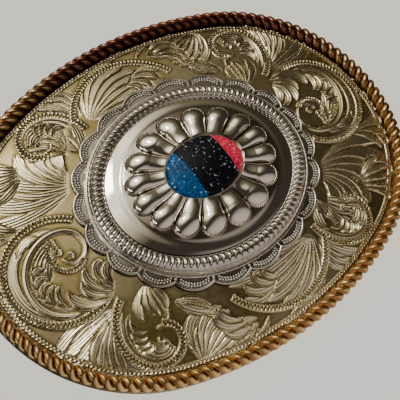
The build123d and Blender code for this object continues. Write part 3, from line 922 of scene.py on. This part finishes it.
# floor, light and camera
view = {
    "position": (-68.85, -146.06, -41.31), "target": (-2.83, -2.75, -3.99), "roll": -38.74, "lens": 70.51,
    "sensor": 36.0,
}


def placeCamera():
    # aimed from position at target, then rolled about its own line of sight
    data = bpy.data.cameras.new("camera")
    data.lens, data.sensor_width = view["lens"], view["sensor"]
    camera = bpy.data.objects.new("camera", data)
    bpy.context.scene.collection.objects.link(camera)
    position, target = Vector(view["position"]) * mm, Vector(view["target"]) * mm
    aim = (target - position).to_track_quat("-Z", "Y").to_matrix().to_4x4()
    roll = Matrix.Rotation(math.radians(view["roll"]), 4, "Z")
    camera.matrix_world = Matrix.Translation(position) @ aim @ roll
    bpy.context.scene.camera = camera
    bpy.context.view_layer.update()
    return camera


camera = placeCamera()
studio = {
    "floorHeight": -52.0, "floorHalf": 3000.0, "floorColour": (0.95, 0.93, 0.88),
    "floorNear": (0.62, 0.55, 0.50), "floorFar": (0.05, 0.042, 0.035), "floorFade": (0.05, 0.14),
    "backdrop": (0.95, 0.91, 0.76), "roomAlong": (-0.35, 0.75, 0.55),
    "room": ((0.0, (0.012, 0.010, 0.008)), (0.50, (0.028, 0.023, 0.018)), (0.75, (0.055, 0.047, 0.032)),
             (0.885, (0.19, 0.17, 0.115)), (0.94, (0.95, 0.88, 0.70)), (0.97, (2.0, 1.9, 1.6)),
             (1.0, (2.2, 2.1, 1.8))),
}
# each softbox: right, up and toward the camera from the buckle's middle, its size, radiance and colour
softboxes = {
    "keyLight": ((-147, 315, 231), (90, 130), 11.0, (1.0, 0.96, 0.88)),
    "sideLight": ((-380, -60, 160), (50, 170), 6.0, (1.0, 0.98, 0.94)),
    "lowLight": ((-260, -120, 250), (40, 120), 5.0, (1.0, 0.95, 0.90)),
    "backLight": ((-100, 250, -300), (260, 200), 2.2, (1.0, 0.97, 0.92)),
    "backFill": ((260, 160, -260), (60, 200), 3.0, (0.96, 0.98, 1.0)),
    "farLight": ((330, 120, 200), (20, 200), 4.0, (0.94, 0.97, 1.0)),
}


def softbox(name, offset, size, radiance, colour):
    # an area light aimed at the buckle's middle; its power is radiance * pi * area
    data = bpy.data.lights.new(name, "AREA")
    data.shape, data.size, data.size_y = "RECTANGLE", size[0] * mm, size[1] * mm
    data.energy, data.color = radiance * math.pi * data.size * data.size_y, colour
    light = bpy.data.objects.new(name, data)
    bpy.context.scene.collection.objects.link(light)
    position = camera.matrix_world.to_3x3() @ (Vector(offset) * mm)
    aim = (-position).to_track_quat("-Z", "Y").to_matrix().to_4x4()
    light.matrix_world = Matrix.Translation(position) @ aim
    light.visible_camera = False


def cameraSees(tree, plain, mirrored):
    # the plain colour where the camera looks straight at it, the mirrored one in every reflection
    choice = tree.nodes.new("ShaderNodeMix")
    choice.data_type = "RGBA"
    seen = tree.nodes.new("ShaderNodeLightPath").outputs["Is Camera Ray"]
    tree.links.new(seen, choice.inputs["Factor"])
    tree.links.new(mirrored, choice.inputs["A"])
    choice.inputs["B"].default_value = (*plain, 1)
    return choice.outputs["Result"]


def paleFloor():
    # seen directly it is evenly pale; mirrored in the metal it fades from a pale patch to a dark room
    half, level = studio["floorHalf"] * mm, studio["floorHeight"] * mm
    mesh = bpy.data.meshes.new("floor")
    corners = [(x * half, y * half, level) for x, y in ((-1, -1), (1, -1), (1, 1), (-1, 1))]
    mesh.from_pydata(corners, [], [(0, 1, 2, 3)])
    floor = bpy.data.objects.new("floor", mesh)
    bpy.context.scene.collection.objects.link(floor)
    material = bpy.data.materials.new("paleFloor")
    material.use_nodes = True
    nodes, link = material.node_tree.nodes, material.node_tree.links.new
    where = nodes.new("ShaderNodeTexCoord").outputs["Object"]
    reach = nodes.new("ShaderNodeVectorMath")
    reach.operation = "LENGTH"
    link(where, reach.inputs[0])
    fade = nodes.new("ShaderNodeMapRange")
    fade.interpolation_type = "SMOOTHSTEP"
    fade.inputs["From Min"].default_value, fade.inputs["From Max"].default_value = studio["floorFade"]
    link(reach.outputs["Value"], fade.inputs["Value"])
    mirrored = nodes.new("ShaderNodeMix")
    mirrored.data_type = "RGBA"
    link(fade.outputs["Result"], mirrored.inputs["Factor"])
    mirrored.inputs["A"].default_value = (*studio["floorNear"], 1)
    mirrored.inputs["B"].default_value = (*studio["floorFar"], 1)
    shown = cameraSees(material.node_tree, studio["floorColour"], mirrored.outputs["Result"])
    glow = nodes.new("ShaderNodeEmission")
    link(shown, glow.inputs["Color"])
    link(glow.outputs["Emission"], nodes["Material Output"].inputs["Surface"])
    mesh.materials.append(material)


def studioWorld():
    # a plain pale backdrop for the camera; the metal mirrors a room that brightens along one direction
    world = bpy.data.worlds.new("studio")
    bpy.context.scene.world = world
    world.use_nodes = True
    nodes, link = world.node_tree.nodes, world.node_tree.links.new
    where = nodes.new("ShaderNodeTexCoord").outputs["Generated"]
    lean = nodes.new("ShaderNodeVectorMath")
    lean.operation = "DOT_PRODUCT"
    lean.inputs[1].default_value = camera.matrix_world.to_3x3() @ Vector(studio["roomAlong"]).normalized()
    link(where, lean.inputs[0])
    height = nodes.new("ShaderNodeMapRange")
    height.inputs["From Min"].default_value = -1.0
    link(lean.outputs["Value"], height.inputs["Value"])
    ramp = nodes.new("ShaderNodeValToRGB")
    for number, (place, colour) in enumerate(studio["room"]):
        element = ramp.color_ramp.elements[0] if number == 0 else ramp.color_ramp.elements.new(place)
        element.position, element.color = place, (*colour, 1)
    link(height.outputs["Result"], ramp.inputs["Fac"])
    shown = cameraSees(world.node_tree, studio["backdrop"], ramp.outputs["Color"])
    link(shown, nodes["Background"].inputs["Color"])


paleFloor()
studioWorld()
for name, settings in softboxes.items():
    softbox(name, *settings)
print("studio made")
